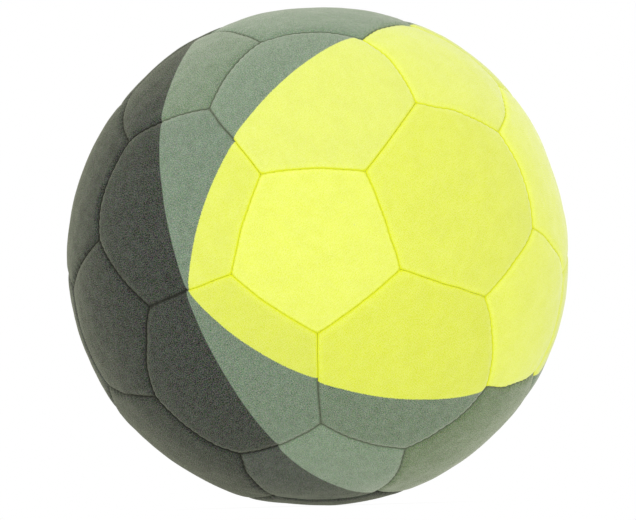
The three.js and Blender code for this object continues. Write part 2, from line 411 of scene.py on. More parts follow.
def bulges(directions):
    """How far the whole ball stands out from a true ball there, in metres."""
    total = np.zeros(len(directions))
    for place, height, width in BULGES:
        turn = np.degrees(np.arccos(np.clip(directions @ globe(*place), -1, 1)))
        total += height * MM * hump(turn, width)
    return total


print("Sizes of lumps:", len(LUMPS), "and bulges:", len(BULGES))

# %% Felt and thread follow the seams' wander


def strayed(panel, directions):
    """Directions moved sideways with the seams near them."""
    away = away_from_seams(panel, directions)
    moved = directions.copy()
    for (_, seam), distance in zip(panel.seams, away):
        sideways = seam.sideways(seam.along(directions), distance) / BALL_RADIUS
        moved += sideways[:, None] * seam.across
    return unit(moved)


def below_felt(panel, directions, depth, pulled=True):
    """Points so deep below the felt or, where it isn't pulled in, below the crown."""
    if pulled:
        depth = depth + pulled_in(panel, directions) - lumps(directions)
    moved = strayed(panel, directions)
    return moved * (BALL_RADIUS + bulges(moved) - depth)[:, None]


print_mm("Widest bow:", max(abs(seam.bow) for seam in SEAMS))

# %% [markdown]
# ## A mesh for one panel
# The middle of a panel is a grid: it is cut into one four-sided patch for each corner. Towards the seam
# the grid gives way to rings that follow the outline, closer and closer together where the edge rolls
# over. Behind the seam the rings go on down the channel for the thread, round the turned-in edge and
# across the backing, so that every panel is one closed body.

# %% How fine the mesh is
HALF_SIDE = 24  # steps from the middle of a seam to its corner
PATCH = HALF_SIDE // 2  # steps along a side of the middle grids
BACK = HALF_SIDE // 4  # steps on the unseen backing
FELT_INSETS = [0.04, 0.3, 0.65, 1.1, 1.65, 2.3, 3, 3.8, 4.7, 5.8, 7.1]  # millimetres
PATCH_INSET = 8.6 * MM


class FeltMesh:
    """Collects the points and faces of one panel. Faces run from one ring to the next."""

    def __init__(self, panel):
        self.panel = panel
        self.points, self.flats, self.insets, self.faces = [], [], [], []

    def add(self, flat, depth=None, pulled=True):
        """Adds points on the felt, or so deep below it, and says their numbers."""
        directions = self.panel.direction(flat)
        if depth is None:
            inset = rounded(away_from_seams(self.panel, directions) - HALF_GAP)
            depth = rolled_over(inset)
        else:
            inset = np.full(len(flat), -depth)
        self.points.append(below_felt(self.panel, directions, depth, pulled))
        self.flats.append(flat)
        self.insets.append(inset)
        count = sum(len(part) for part in self.points)
        return np.arange(count - len(flat), count)

    def corners_in(self, inset):
        """The outline's corners that far in from the seams, and the middle of the side after each."""
        corners = self.panel.flat_corners * self.panel.shrink(inset)
        return corners, (corners + np.roll(corners, -1, axis=0)) / 2

    def outline(self, steps, inset):
        """Points round the outline that far in from the seams, starting at the middle of a seam."""
        corners, middles = self.corners_in(inset)
        stops = np.stack([np.roll(middles, 1, axis=0), corners], axis=1).reshape(-1, 2)
        share = np.arange(steps)[:, None] / steps
        return np.concatenate([here + (there - here) * share for here, there in sides(stops)])

    def face(self, *numbers, flip=False):
        numbers = tuple(map(int, numbers))
        self.faces.append(numbers[::-1] if flip else numbers)

    def bridge(self, before, after, flip=False):
        """Joins two closed rings. One of them may have twice as many points as the other."""
        if len(before) < len(after):
            return self.bridge(after, before, flip=True)
        ahead, beyond = np.roll(before, -1), np.roll(after, -1)
        if len(before) == len(after):
            for corners in zip(before, ahead, beyond, after):
                self.face(*corners)
            return
        for i, (c, d) in enumerate(zip(beyond, after)):
            self.face(before[2 * i], before[2 * i + 1], d, flip=flip)
            self.face(before[2 * i + 1], ahead[2 * i + 1], c, d, flip=flip)

    def join(self, rings):
        for before, after in zip(rings, rings[1:]):
            self.bridge(before, after)


print("Points round a hexagon's edge:", 12 * HALF_SIDE)

# %% The rings of a panel


def edge_rings(mesh):
    """From the tip of the turned-in edge, up the seam and over the roll to the middle grids."""
    tip = HALF_GAP + ALLOWANCE_THICKNESS
    below = [
        (BACK, tip, PANEL_THICKNESS, True),
        (BACK, tip, ALLOWANCE_DEPTH, False),
        (PATCH, HALF_GAP, ALLOWANCE_DEPTH, False),
        (PATCH, HALF_GAP, EDGE_DROP + 2.5 * CHANNEL, True),
        (PATCH, HALF_GAP + CHANNEL, EDGE_DROP + 1.5 * CHANNEL, True),
        (PATCH, HALF_GAP, EDGE_DROP + 0.5 * CHANNEL, True),
    ]
    rings = [mesh.add(mesh.outline(steps, inset), depth, pulled) for steps, inset, depth, pulled in below]
    rings += [mesh.add(mesh.outline(HALF_SIDE, inset * MM)) for inset in FELT_INSETS]
    rings.append(mesh.add(mesh.outline(PATCH, PATCH_INSET)))
    return rings


def fill_middle(mesh, rim):
    """Fills the last ring with one square grid for each corner."""
    corners, middles = mesh.corners_in(PATCH_INSET)
    hub = mesh.add(np.zeros((1, 2)))
    share = np.arange(1, PATCH) / PATCH
    steps = np.arange(PATCH + 1)
    spokes = []
    for k, middle in enumerate(middles):
        end = rim[2 * PATCH * (k + 1) % len(rim)]
        spokes.append([*hub, *mesh.add(share[:, None] * middle), end])
    for k, corner in enumerate(corners):
        grid = np.zeros((PATCH + 1, PATCH + 1), int)
        grid[:, 0], grid[0, :] = spokes[k - 1], spokes[k]
        grid[PATCH, :] = rim[2 * PATCH * k + steps]
        grid[:, PATCH] = rim[(2 * PATCH * (k + 1) - steps) % len(rim)]
        u, v = (axis[..., None] for axis in np.meshgrid(share, share, indexing="ij"))
        flat = u * (1 - v) * middles[k - 1] + (1 - u) * v * middles[k] + u * v * corner
        grid[1:PATCH, 1:PATCH] = mesh.add(flat.reshape(-1, 2)).reshape(PATCH - 1, PATCH - 1)
        for i, j in itertools.product(range(PATCH), repeat=2):
            mesh.face(grid[i, j], grid[i + 1, j], grid[i + 1, j + 1], grid[i, j + 1])


def fill_back(mesh, rim):
    """Closes the backing with one more ring and a point."""
    half_way = mesh.add(mesh.outline(BACK, mesh.panel.inradius * BALL_RADIUS / 2), PANEL_THICKNESS)
    mesh.bridge(half_way, rim)
    middle = mesh.add(np.zeros((1, 2)), PANEL_THICKNESS)[0]
    for here, ahead in zip(half_way, np.roll(half_way, -1)):
        mesh.face(middle, ahead, here)


print("Rings up to the middle grids:", len(edge_rings(FeltMesh(PANELS[0]))))

# %% [markdown]
# The valve's panel has a round hole punched through it. It can't have the square grids, so its rings
# turn from the outline to a circle, go down through the hole and come back across the backing.

# %% The hole in the valve panel
HOLE_RADIUS = 5.3 * MM
HOLE_ROLL = 0.7 * MM  # the punched edge is a little rounded
HOLE_ROLL_STEPS = 3
HOLE_RINGS = 9


def circle_of(outline, radius):
    """The outline's points moved in to a circle on the flat plane."""
    return unit(outline) * radius / BALL_RADIUS


def fill_with_hole(mesh, rim, tip):
    outline = mesh.outline(PATCH, PATCH_INSET)
    circle = circle_of(outline, HOLE_RADIUS + HOLE_ROLL)
    rings = [rim]
    for i in range(1, HOLE_RINGS + 1):
        rings.append(mesh.add(outline + (circle - outline) * i / HOLE_RINGS))
    for angle in np.linspace(0, math.pi / 2, HOLE_ROLL_STEPS + 1)[1:]:
        radius = HOLE_RADIUS + HOLE_ROLL * (1 - math.sin(angle))
        rings.append(mesh.add(circle_of(outline, radius), HOLE_ROLL * (1 - math.cos(angle))))
    rings.append(mesh.add(circle_of(outline, HOLE_RADIUS), PANEL_THICKNESS))
    back = mesh.outline(BACK, HALF_GAP + ALLOWANCE_THICKNESS)
    half_way = (HOLE_RADIUS + mesh.panel.inradius * BALL_RADIUS) / 2
    rings.append(mesh.add(circle_of(back, half_way), PANEL_THICKNESS))
    rings.append(tip)
    mesh.join(rings)


print_mm("Hole across:", 2 * HOLE_RADIUS)

# %% A whole panel


def panel_mesh(panel):
    mesh = FeltMesh(panel)
    rings = edge_rings(mesh)
    mesh.join(rings)
    if panel.name == "pentagon_valve":
        fill_with_hole(mesh, rings[-1], rings[0])
    else:
        fill_middle(mesh, rings[-1])
        fill_back(mesh, rings[0])
    return mesh


def put(name, data):
    """A new object in the scene."""
    made = bpy.data.objects.new(name, data)
    bpy.context.scene.collection.objects.link(made)
    return made


def make_object(name, points, faces, material):
    data = bpy.data.meshes.new(name + "_mesh")
    data.from_pydata(points.tolist(), [], faces)
    data.materials.append(material)
    data.validate()
    data.polygons.foreach_set("use_smooth", [True] * len(data.polygons))
    return put(name, data)


def store(piece, name, values):
    """Keeps a number, or three, for each point of a mesh, for its material to read."""
    values = np.asarray(values, np.float32)
    kind, field = ("FLOAT", "value") if values.ndim == 1 else ("FLOAT_VECTOR", "vector")
    attribute = piece.data.attributes.new(name, kind, "POINT")
    attribute.data.foreach_set(field, values.ravel())


print("Faces of a hexagon:", len(panel_mesh(PANELS[0]).faces))

# %% [markdown]
# ## The print
# The felt is printed before it is cut and sewn: a yellow field, a grey-green field and a dark field,
# with plain curved borders. A border breaks a little at each seam, because each panel is cut for itself.
# So each panel in view has its own arc, through three points given in degrees round the ball and up it.
# The yellow, or the dark, lies on the left of the way from the first point to the last. A panel out of
# view takes its borders from three circles that carry the fields round the back.

# %% Arcs that part the fields


def cap(place, reach):
    """A round field: the direction of its middle, and how many degrees it reaches from there."""
    return globe(*place), math.radians(reach)


def arc(first, middle, last):
    """The circle through three places. Its inside is on the left of the way through them."""
    a, b, c = (globe(*place) for place in (first, middle, last))
    axis = unit(np.cross(b - a, c - b))
    return axis, math.acos(axis @ a)


def inside(circle, directions):
    """How far inside the circle each direction lies, in millimetres."""
    axis, reach = circle
    return (reach - np.arccos(np.clip(directions @ axis, -1, 1))) * BALL_RADIUS / MM


YELLOW_ARCS = {
    "hexagon_front_3": ((17.2, 56.2), (-5.7, 42.3), (-19.3, 25.4)),
    "hexagon_front_2": ((-18.5, 25.4), (-25.3, 8.5), (-29.9, -9)),
    "hexagon_front_1": ((-30, -9.2), (-17.2, -21.5), (-0.3, -30.7)),
    "hexagon_front_5": ((0.9, -31.9), (24.6, -36.3), (49.4, -34.9)),
}
DARK_ARCS = {
    "pentagon_front_ring_3": ((-43.8, 31.9), (-50.7, 47.4), (-66.6, 60.9)),
    "hexagon_front_2": ((-30.2, -9), (-35.6, 9.9), (-42.1, 28.6)),
    "hexagon_front_1": ((-15.3, -48.5), (-23.3, -31.3), (-29.1, -13.9)),
    "pentagon_front_ring_1": ((26.2, -71.8), (-0.7, -63.3), (-13.7, -52.2)),
}
PLAIN_PANELS = (  # they have no yellow, though its circles cross them
    "hexagon_front_ring_3",
    "hexagon_front_ring_5",
    "pentagon_front_ring_1",
    "pentagon_front_ring_3",
)
YELLOW_FIELD = (cap((48, -16), 84), cap((36, 44), 85.5))
DARK_FIELD = (cap((-123, -16), 90),)
FAR_OUTSIDE = 60.0  # millimetres
ARC_SHIFT = 0.7  # millimetres, of the borders on the panels out of view


def field_depth(panel, directions, arcs, field, rng):
    """How far inside a field each direction lies, in millimetres."""
    shift = rng.normal() * ARC_SHIFT
    if panel.name in arcs:
        return inside(arc(*arcs[panel.name]), directions)
    return np.min([inside(circle, directions) for circle in field], axis=0) + shift


def yellow_depth(panel, directions, rng):
    depth = field_depth(panel, directions, YELLOW_ARCS, YELLOW_FIELD, rng)
    return depth - FAR_OUTSIDE if panel.name in PLAIN_PANELS else depth


print("Panels with a border of their own:", len({*YELLOW_ARCS, *DARK_ARCS}))

# %% [markdown]
# ## Felt
# Printed felt is matt. Its loose fibres catch light that comes from the side, so it looks paler towards
# the ball's outline and on the far side of each rolled edge: that is the shader's sheen. Its colour is
# never even. The nap is brushed into faint clouds, single undyed fibres show through the print, and
# there is a little lint. Pressed into a seam, it is denser and its colour deeper, and painted shade
# darkens the crease as well. A painted highlight lightens the felt where its edge rolls over. All of it
# follows each panel's own cloth, by the attributes stored with the mesh.

# %% A short way to write materials


class Recipe:
    """A new material or world. Its nodes take numbers, colours or other nodes' outputs."""

    def __init__(self, name, kind="materials", shader="Principled BSDF"):
        self.made = getattr(bpy.data, kind).new(name)
        self.made.use_nodes = True
        self.tree = self.made.node_tree
        self.shader = self.tree.nodes[shader]

    def node(self, kind, inputs=(), **settings):
        node = self.tree.nodes.new(kind)
        for name, value in settings.items():
            setattr(node, name, value)
        for socket, value in dict(inputs).items():
            self.feed(node.inputs[socket], value)
        return node

    def feed(self, socket, value):
        if isinstance(value, bpy.types.NodeSocket):
            self.tree.links.new(value, socket)
        else:
            socket.default_value = value

    def attribute(self, name, output="Fac"):
        return self.node("ShaderNodeAttribute", attribute_name=name).outputs[output]

    def place(self):
        """Where a point lies on its object, in metres."""
        return self.node("ShaderNodeTexCoord").outputs["Object"]

    def math(self, operation, a, b):
        return self.node("ShaderNodeMath", {0: a, 1: b}, operation=operation).outputs[0]

    def add(self, a, b):
        return self.math("ADD", a, b)

    def product(self, a, b):
        return self.math("MULTIPLY", a, b)

    def noise(self, place, size, detail=2.0, output="Fac"):
        """Noise from 0 to 1 with blotches of about that size, in the units of place."""
        settings = {"Vector": place, "Scale": 1 / size, "Detail": detail}
        return self.node("ShaderNodeTexNoise", settings).outputs[output]

    def ramp(self, value, low, high, start=0.0, end=1.0):
        settings = {"Value": value, "From Min": low, "From Max": high, "To Min": start, "To Max": end}
        return self.node("ShaderNodeMapRange", settings, interpolation_type="SMOOTHSTEP").outputs["Result"]

    def vary(self, value, span, most):
        """A factor near 1 that rises by that much while the value crosses its span."""
        return self.ramp(value, *span, 1 - most / 2, 1 + most / 2)

    def blend(self, share, a, b, kind="MIX", clamp=False):
        """Mixes colours. A Mix node has them at its inputs 6 and 7, and at its output 2."""
        settings = {"data_type": "RGBA", "blend_type": kind, "clamp_result": clamp}
        return self.node("ShaderNodeMix", {0: share, 6: a, 7: b}, **settings).outputs[2]

    def times(self, color, factor):
        return self.blend(1.0, color, factor, "MULTIPLY")

    def bump(self, height, distance, strength=1.0):
        settings = {"Height": height, "Distance": distance, "Strength": strength}
        return self.node("ShaderNodeBump", settings).outputs["Normal"]

    def mix_in(self, share, other):
        """Lets the shader give way to another by that share."""
        mix = self.node("ShaderNodeMixShader", {0: share, 1: self.shader.outputs[0], 2: other})
        output = next(node for node in self.tree.nodes if node.type.startswith("OUTPUT"))
        self.feed(output.inputs["Surface"], mix.outputs[0])

    def finish(self, **sockets):
        """Sets the shader's own sockets. Underscores stand for spaces in their names."""
        for name, value in sockets.items():
            self.feed(self.shader.inputs[name.replace("_", " ")], value)
        return self.made


print("A recipe's helpers:", *(name for name in vars(Recipe) if name[0] != "_"))

# %% The three printed colours, with painted shade and highlight at the seams: values for yellow, green and dark
FIELDS = ("yellow", "green", "dark")
PRINT = ((0.86, 0.93, 0.15, 1), (0.21, 0.277, 0.19, 1), (0.053, 0.06, 0.049, 1))
# Pressed seam felt: partly its own deeper colour, partly painted shade for the crease that light hardly
# reaches.
PRESSED_AND_SHADED = ((0.86, 0.92, 0.012, 1), (0.125, 0.16, 0.1, 1), (0.02, 0.021, 0.017, 1))
PRESSED_SHADE_WIDTHS = ((0.95,) * 4, (0.9,) * 4, (1.2,) * 4)  # millimetres
SHEEN = ((0.95, 0.97, 0.92, 1), (1, 1, 0.85, 1), (0.43, 0.45, 0.31, 1))
GRAIN = ((0.26, 0.26, 0.44, 1), (0.56, 0.56, 0.56, 1), (0.34, 0.34, 0.34, 1))
# Painted highlight: the felt's colour is made lighter where the edge rolls over and would catch light.
ROLL_HIGHLIGHTS = ((0.045,) * 4, (0.035,) * 4, (0,) * 4)  # how much lighter the felt is where it rolls over
ROLL_HIGHLIGHT_WIDTHS = (0.3, 0.9, 3)  # millimetres from the seam, where that starts, peaks and ends
CREASE_WIDTH = 0.35  # millimetres beside the seam where little light comes in
CREASE_SHADE = 0.95
BORDER_BLUR = 0.22  # millimetres over which one colour gives way to the next
BORDER_FUZZ = 0.5  # millimetres that the border strays among the fibres


def by_field(felt, fibres, values):
    """Blends the values of the three fields. Their borders stray a little among the fibres."""
    fuzz = felt.product(felt.math("SUBTRACT", fibres, 0.5), BORDER_FUZZ)
    yellow, dark = (
        felt.ramp(felt.add(felt.attribute(depth), fuzz), -BORDER_BLUR, BORDER_BLUR)
        for depth in ("yellow_depth", "dark_depth")
    )
    return [felt.blend(yellow, felt.blend(dark, g, d), y) for y, g, d in values]


def beside_seam(felt, color, pressed_and_shaded, width, most):
    """Pressed felt and painted shade in the seam, and a painted highlight where the edge rolls over."""
    inset = felt.attribute("inset")
    color = felt.blend(felt.ramp(inset, 0, width, 1.0, 0.0), color, pressed_and_shaded)
    color = felt.times(color, felt.ramp(inset, 0, CREASE_WIDTH, CREASE_SHADE, 1.0))
    start, peak, end = ROLL_HIGHLIGHT_WIDTHS
    catch = felt.product(felt.ramp(inset, start, peak), felt.ramp(inset, peak, end, 1.0, 0.0))
    return felt.times(color, felt.add(felt.product(catch, most), 1.0))


print("Printed fields:", *FIELDS)

# %% Fibres, clouds and lint
FIBRE_SIZE, TUFT_SIZE, CLOUD_SIZE = 0.5, 2.4, 7  # millimetres
NAP = (1, 0.7, 1)  # tufts and clouds are drawn out along the brushed nap
TUFT_SHARE = 0.25  # of the grain, where the rest is single fibres
GRAIN_SPAN, CLOUD_SPAN = (0.3, 0.7), (0.25, 0.75)  # what their noise usually gives
FIBRE_TINT = 0.25  # how far the fibres differ in colour, and not only in lightness
CLOUDS = 0.035
STANDING = 0.5  # how unevenly the fibres stand up
BRUSHED = 0.22  # how unevenly whole patches of them do
FIBRE_RELIEF, TUFT_RELIEF, FELT_RELIEF = 0.5, 0.9, 0.25 * MM
LINT = (0.5, 0.53, 0.48, 1)
LINT_APART = 9  # millimetres
LINT_CHANCE = 0.28
LINT_REACH = (0.016, 0.034)  # of the way between specks: solid, and gone
LINT_SHARE = 0.5


def with_lint(felt, cloth, color):
    """A few specks of lint."""
    specks = felt.node("ShaderNodeTexVoronoi", {"Vector": cloth, "Scale": 1 / LINT_APART}, feature="F1")
    lot = felt.node("ShaderNodeSeparateColor", {0: specks.outputs["Color"]}).outputs[0]
    few = felt.math("GREATER_THAN", lot, 1 - LINT_CHANCE)
    near = felt.ramp(specks.outputs["Distance"], *LINT_REACH, 1.0, 0.0)
    return felt.blend(felt.product(felt.product(near, few), LINT_SHARE), color, LINT)


def printed_felt():
    felt = Recipe("printed_felt")
    cloth = felt.attribute("cloth", "Vector")
    brushed = felt.node("ShaderNodeVectorMath", {0: cloth, 1: NAP}, operation="MULTIPLY").outputs[0]
    fibres = felt.noise(cloth, FIBRE_SIZE, detail=0)
    tufts = felt.noise(brushed, TUFT_SIZE)
    clouds = felt.noise(brushed, CLOUD_SIZE, detail=3)
    height = felt.add(felt.product(fibres, 1 - TUFT_SHARE), felt.product(tufts, TUFT_SHARE))
    tones_and_light = [felt.attribute("tone_" + field, "Color") for field in FIELDS]
    values = [PRINT, PRESSED_AND_SHADED, PRESSED_SHADE_WIDTHS, ROLL_HIGHLIGHTS, SHEEN, GRAIN, tones_and_light]
    color, pressed_and_shaded, width, catch, sheen, strength, tone_and_light = by_field(felt, fibres, values)

    # Undyed fibres lighten every colour by the same amount. Clouds and the panel's tone, part painted
    # light, scale it.
    color = felt.times(felt.times(color, felt.vary(clouds, CLOUD_SPAN, CLOUDS)), tone_and_light)
    grain = felt.blend(FIBRE_TINT, height, felt.noise(cloth, FIBRE_SIZE, detail=0, output="Color"))
    grain = felt.blend(1.0, grain, (0.5, 0.5, 0.5, 1), "SUBTRACT")
    color = felt.blend(1.0, color, felt.times(grain, strength), "ADD", clamp=True)
    color = beside_seam(felt, color, pressed_and_shaded, width, catch)

    # Where fibres stand up, they catch more of the light that comes from the side.
    standing = felt.vary(height, GRAIN_SPAN, STANDING)
    sheen = felt.times(sheen, felt.product(standing, felt.vary(clouds, CLOUD_SPAN, BRUSHED)))
    relief = felt.add(felt.product(fibres, FIBRE_RELIEF), felt.product(tufts, TUFT_RELIEF))
    return felt.finish(
        Base_Color=with_lint(felt, cloth, color),
        Roughness=0.95,
        Specular_IOR_Level=0.15,
        Sheen_Weight=0.6,
        Sheen_Roughness=0.42,
        Sheen_Tint=sheen,
        Normal=felt.bump(relief, FELT_RELIEF, 0.8),
    )


FELT = printed_felt()
print("Made", FELT.name, "with", len(FELT.node_tree.nodes), "nodes")

# %% [markdown]
# ## Sew the panels
# Each panel becomes one piece that stands for its packed node. The numbers that the felt reads are kept
# with its points: its place on the cloth, how far it lies from the seam, how far inside the yellow and
# the dark fields, and the panel's own tone, which on some panels also holds painted light.

# %% Build all thirty-two panels
USUAL_TONE = 0.04  # how far the nap's lie makes a panel lighter or darker
# Partly each panel's own tone, partly painted light: some yellow is bluer and paler where light from above
# falls, and the dark of pentagon_front_ring_1 is lighter for light bounced up from the floor.
TONES_AND_PAINTED_LIGHT = {  # lightness, and the share of blue, as the photograph shows them on each colour
    "pentagon_front": {"yellow": (1.04, 1.03)},
    "pentagon_front_ring_1": {"green": (1.14, 1), "dark": (1.6, 1)},
    "pentagon_front_ring_2": {"dark": (0.92, 1)},
    "pentagon_front_ring_3": {"green": (1.02, 0.96), "dark": (1.02, 1)},
    "pentagon_front_ring_4": {"yellow": (1.01, 1.15)},
    "pentagon_front_ring_5": {"yellow": (1.03, 0.96)},
    "hexagon_front_1": {"yellow": (0.91, 0.88), "green": (0.935, 1.01), "dark": (1.03, 1)},
    "hexagon_front_2": {"yellow": (0.96, 1), "green": (0.98, 1.03), "dark": (1, 1)},
    "hexagon_front_3": {"yellow": (0.99, 1.24), "green": (1.1, 1.01)},
    "hexagon_front_4": {"yellow": (0.97, 0.88)},
    "hexagon_front_5": {"yellow": (0.945, 0.77), "green": (0.885, 0.98)},
    "hexagon_front_ring_1": {"dark": (0.93, 0.98)},
    "hexagon_front_ring_2": {"dark": (0.91, 1)},
    "hexagon_front_ring_3": {"green": (1.1, 1)},
    "hexagon_front_ring_4": {"yellow": (1.05, 1.07)},
    "hexagon_front_ring_5": {"green": (0.86, 0.8)},
}
CLOTH_APART = 97.0  # keeps the patterns of two panels' cloth apart
CLOTH_SEED = 5


def sew(panel, number, rng):
    mesh = panel_mesh(panel)
    points, flats = np.concatenate(mesh.points), np.concatenate(mesh.flats)
    piece = make_object("felt_" + panel.name, points, mesh.faces, FELT)
    nap = np.array(Matrix.Rotation(rng.uniform(0, 2 * math.pi), 2))
    cloth = flats @ nap * BALL_RADIUS / MM
    store(piece, "cloth", np.insert(cloth, 2, number * CLOTH_APART, axis=1))
    store(piece, "inset", np.concatenate(mesh.insets) / MM)
    store(piece, "yellow_depth", yellow_depth(panel, unit(points), rng))
    store(piece, "dark_depth", field_depth(panel, unit(points), DARK_ARCS, DARK_FIELD, rng))
    usual = (1 + rng.normal() * USUAL_TONE, 1)
    # The tone attributes hold each panel's own tone and, on some panels, painted light.
    for field in FIELDS:
        level, blue = TONES_AND_PAINTED_LIGHT.get(panel.name, {}).get(field, usual)
        store(piece, "tone_" + field, np.tile((level, level, level * blue), (len(points), 1)))
    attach(piece, BODY)
    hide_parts(panel.name)
    return piece


rng = np.random.default_rng(CLOTH_SEED)
felt_pieces = [sew(panel, number, rng) for number, panel in enumerate(PANELS)]
print("Sewn:", len(felt_pieces), "panels with", sum(len(p.data.polygons) for p in felt_pieces), "faces")

# %% [markdown]
# ## Thread, valve and bladder
# The thread lies deep in the seams. It is drawn afresh so that it follows their wander. The valve shows
# through its hole at the back, so it is turned afresh with many more sides and small rounded edges. The
# bladder and the cloth ring are inside. They keep their packed forms and get their own finish.

# %% Waxed thread, rubber and cloth
WEAVE = 18 * MM  # twenty radians of Blender's wave texture


def waxed_thread():
    thread = Recipe("waxed_thread")
    twist = thread.noise(thread.place(), 0.7 * MM, detail=1)
    color = thread.blend(twist, (0.03, 0.034, 0.028, 1), (0.075, 0.08, 0.066, 1))
    return thread.finish(Base_Color=color, Roughness=0.55, Normal=thread.bump(twist, 0.1 * MM))


def rubber(name, color, roughness):
    mix = Recipe(name)
    place = mix.place()
    pores = mix.noise(place, 0.5 * MM, detail=3)
    bloom = mix.noise(place, 6 * MM)
    pale = tuple(part * 2.2 + 0.006 for part in color[:3]) + (1,)
    shade = mix.blend(mix.ramp(bloom, 0.45, 0.8, 0, 0.6), color, pale)
    rough = mix.ramp(pores, 0.2, 0.8, roughness - 0.08, roughness + 0.12)
    return mix.finish(Base_Color=shade, Roughness=rough, Normal=mix.bump(pores, 0.06 * MM, 0.6))


def woven_cloth():
    cloth = Recipe("woven_cloth")
    threads = []
    for direction in ("X", "Z"):
        settings = {"Vector": cloth.place(), "Scale": 1 / WEAVE, "Distortion": 0.4}
        wave = cloth.node("ShaderNodeTexWave", settings, bands_direction=direction)
        threads.append(wave.outputs["Fac"])
    weave = cloth.math("MAXIMUM", *threads)
    color = cloth.blend(weave, (0.5, 0.48, 0.42, 1), (0.72, 0.7, 0.63, 1))
    return cloth.finish(Base_Color=color, Roughness=0.9, Normal=cloth.bump(weave, 0.1 * MM))


VALVE_RUBBER = rubber("valve_rubber", (0.02, 0.02, 0.021, 1), 0.55)
THREAD = waxed_thread()
FINISHES = {
    "seam_thread": THREAD,
    "bladder": rubber("bladder_rubber", (0.014, 0.014, 0.015, 1), 0.4),
    "valve_patch": woven_cloth(),
    "valve_body": VALVE_RUBBER,
    "valve_plug": VALVE_RUBBER,
}
for name, finish in FINISHES.items():
    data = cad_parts[name].data
    data.materials.clear()
    data.materials.append(finish)
print("Finished inner nodes:", ", ".join(FINISHES))

# %% Thread along every seam
THREAD_RADIUS = 0.4 * MM
THREAD_SIDES = 8
THREAD_POINTS = 40


def thread_run(panel, seam):
    """Points along the seam in the middle of its channel."""
    share = np.linspace(0, seam.angle, THREAD_POINTS)[:, None]
    directions = np.cos(share) * seam.start + np.sin(share) * seam.ahead
    return below_felt(panel, directions, EDGE_DROP + 1.5 * CHANNEL)


def sew_thread():
    points, faces = [], []
    turns = np.linspace(0, 2 * math.pi, THREAD_SIDES, endpoint=False)
    first_panel = {seam: panel for panel in reversed(PANELS) for _, seam in panel.seams}
    numbers = np.arange(len(SEAMS) * THREAD_SIDES * THREAD_POINTS).reshape(-1, THREAD_SIDES, THREAD_POINTS)
    for (seam, panel), number in zip(first_panel.items(), numbers):
        middle = thread_run(panel, seam)
        ahead = unit(np.gradient(middle, axis=0))
        across = unit(np.cross(ahead, middle))
        upward = np.cross(across, ahead)
        for turn in turns:
            points.append(middle + THREAD_RADIUS * (math.cos(turn) * across + math.sin(turn) * upward))
        beside = np.roll(number, -1, axis=0)
        quads = [number[:, :-1], number[:, 1:], beside[:, 1:], beside[:, :-1]]
        faces += np.stack(quads, axis=-1).reshape(-1, 4).tolist()
        faces += [number[:, 0].tolist(), number[::-1, -1].tolist()]
    return make_object("seam_thread_fine", np.concatenate(points), faces, THREAD)


thread = sew_thread()
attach(thread, BODY)
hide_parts("seam_thread")
print("Thread has", len(thread.data.polygons), "faces")

# %% Turned pieces of the valve
TURNED_SIDES = 72
PLUG_END, VALVE_FACE = (corner.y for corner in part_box("valve_plug"))
BARREL_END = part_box("valve_body")[0].y
COLLAR_RADIUS = 5 * MM
LIP_WIDTH = 0.7 * MM  # a raised lip round the plug's head
LIP_HEIGHT = 0.25 * MM
PLUG_HEAD_RADIUS = 3.6 * MM
PLUG_HEAD_THICKNESS = 1.6 * MM
PLUG_STEM_RADIUS = 2.5 * MM
NEEDLE_RADIUS = 0.6 * MM
FUNNEL_RADIUS = 1.3 * MM
FUNNEL_DEPTH = 1 * MM
NEEDLE_DEPTH = 11 * MM
RUNNING_GAP = 0.3 * MM
BARREL_RADIUS = 4.2 * MM
FLANGE_RADIUS = 14 * MM
FLANGE_UNDER = 5.9 * MM  # below the valve's face
FLANGE_THICKNESS = 1.5 * MM
FLANGE_RIM = 0.6 * MM  # its thickness at the rim
EDGE_ROUNDING = 0.15 * MM


def turn_piece(name, profile, closed):
    """Turns (radius, height) points round the valve's axis, +Y. An open profile ends on the axis."""
    points, faces = [], []
    count = len(profile)
    spans = range(count if closed else count - 1)
    for i in range(TURNED_SIDES):
        angle = 2 * math.pi * i / TURNED_SIDES
        points += [(r * math.sin(angle), y, r * math.cos(angle)) for r, y in profile]
        here, ahead = i * count, (i + 1) % TURNED_SIDES * count
        faces += [(here + j, here + (j + 1) % count, ahead + (j + 1) % count, ahead + j) for j in spans]
    piece = make_object(name, np.array(points), faces, VALVE_RUBBER)
    weld = piece.modifiers.new("weld", "WELD")
    weld.merge_threshold = 0.01 * MM
    bevel = piece.modifiers.new("round_edges", "BEVEL")
    bevel.width = EDGE_ROUNDING
    bevel.segments = 3
    bevel.limit_method = "ANGLE"
    bevel.harden_normals = True
    return piece


def on_ball(radius, depth):
    """A point so far from the axis, on a ball whose top lies so deep below the valve's face."""
    return radius, math.sqrt((VALVE_FACE - depth) ** 2 - radius**2)


print("Turned pieces have", TURNED_SIDES, "sides")

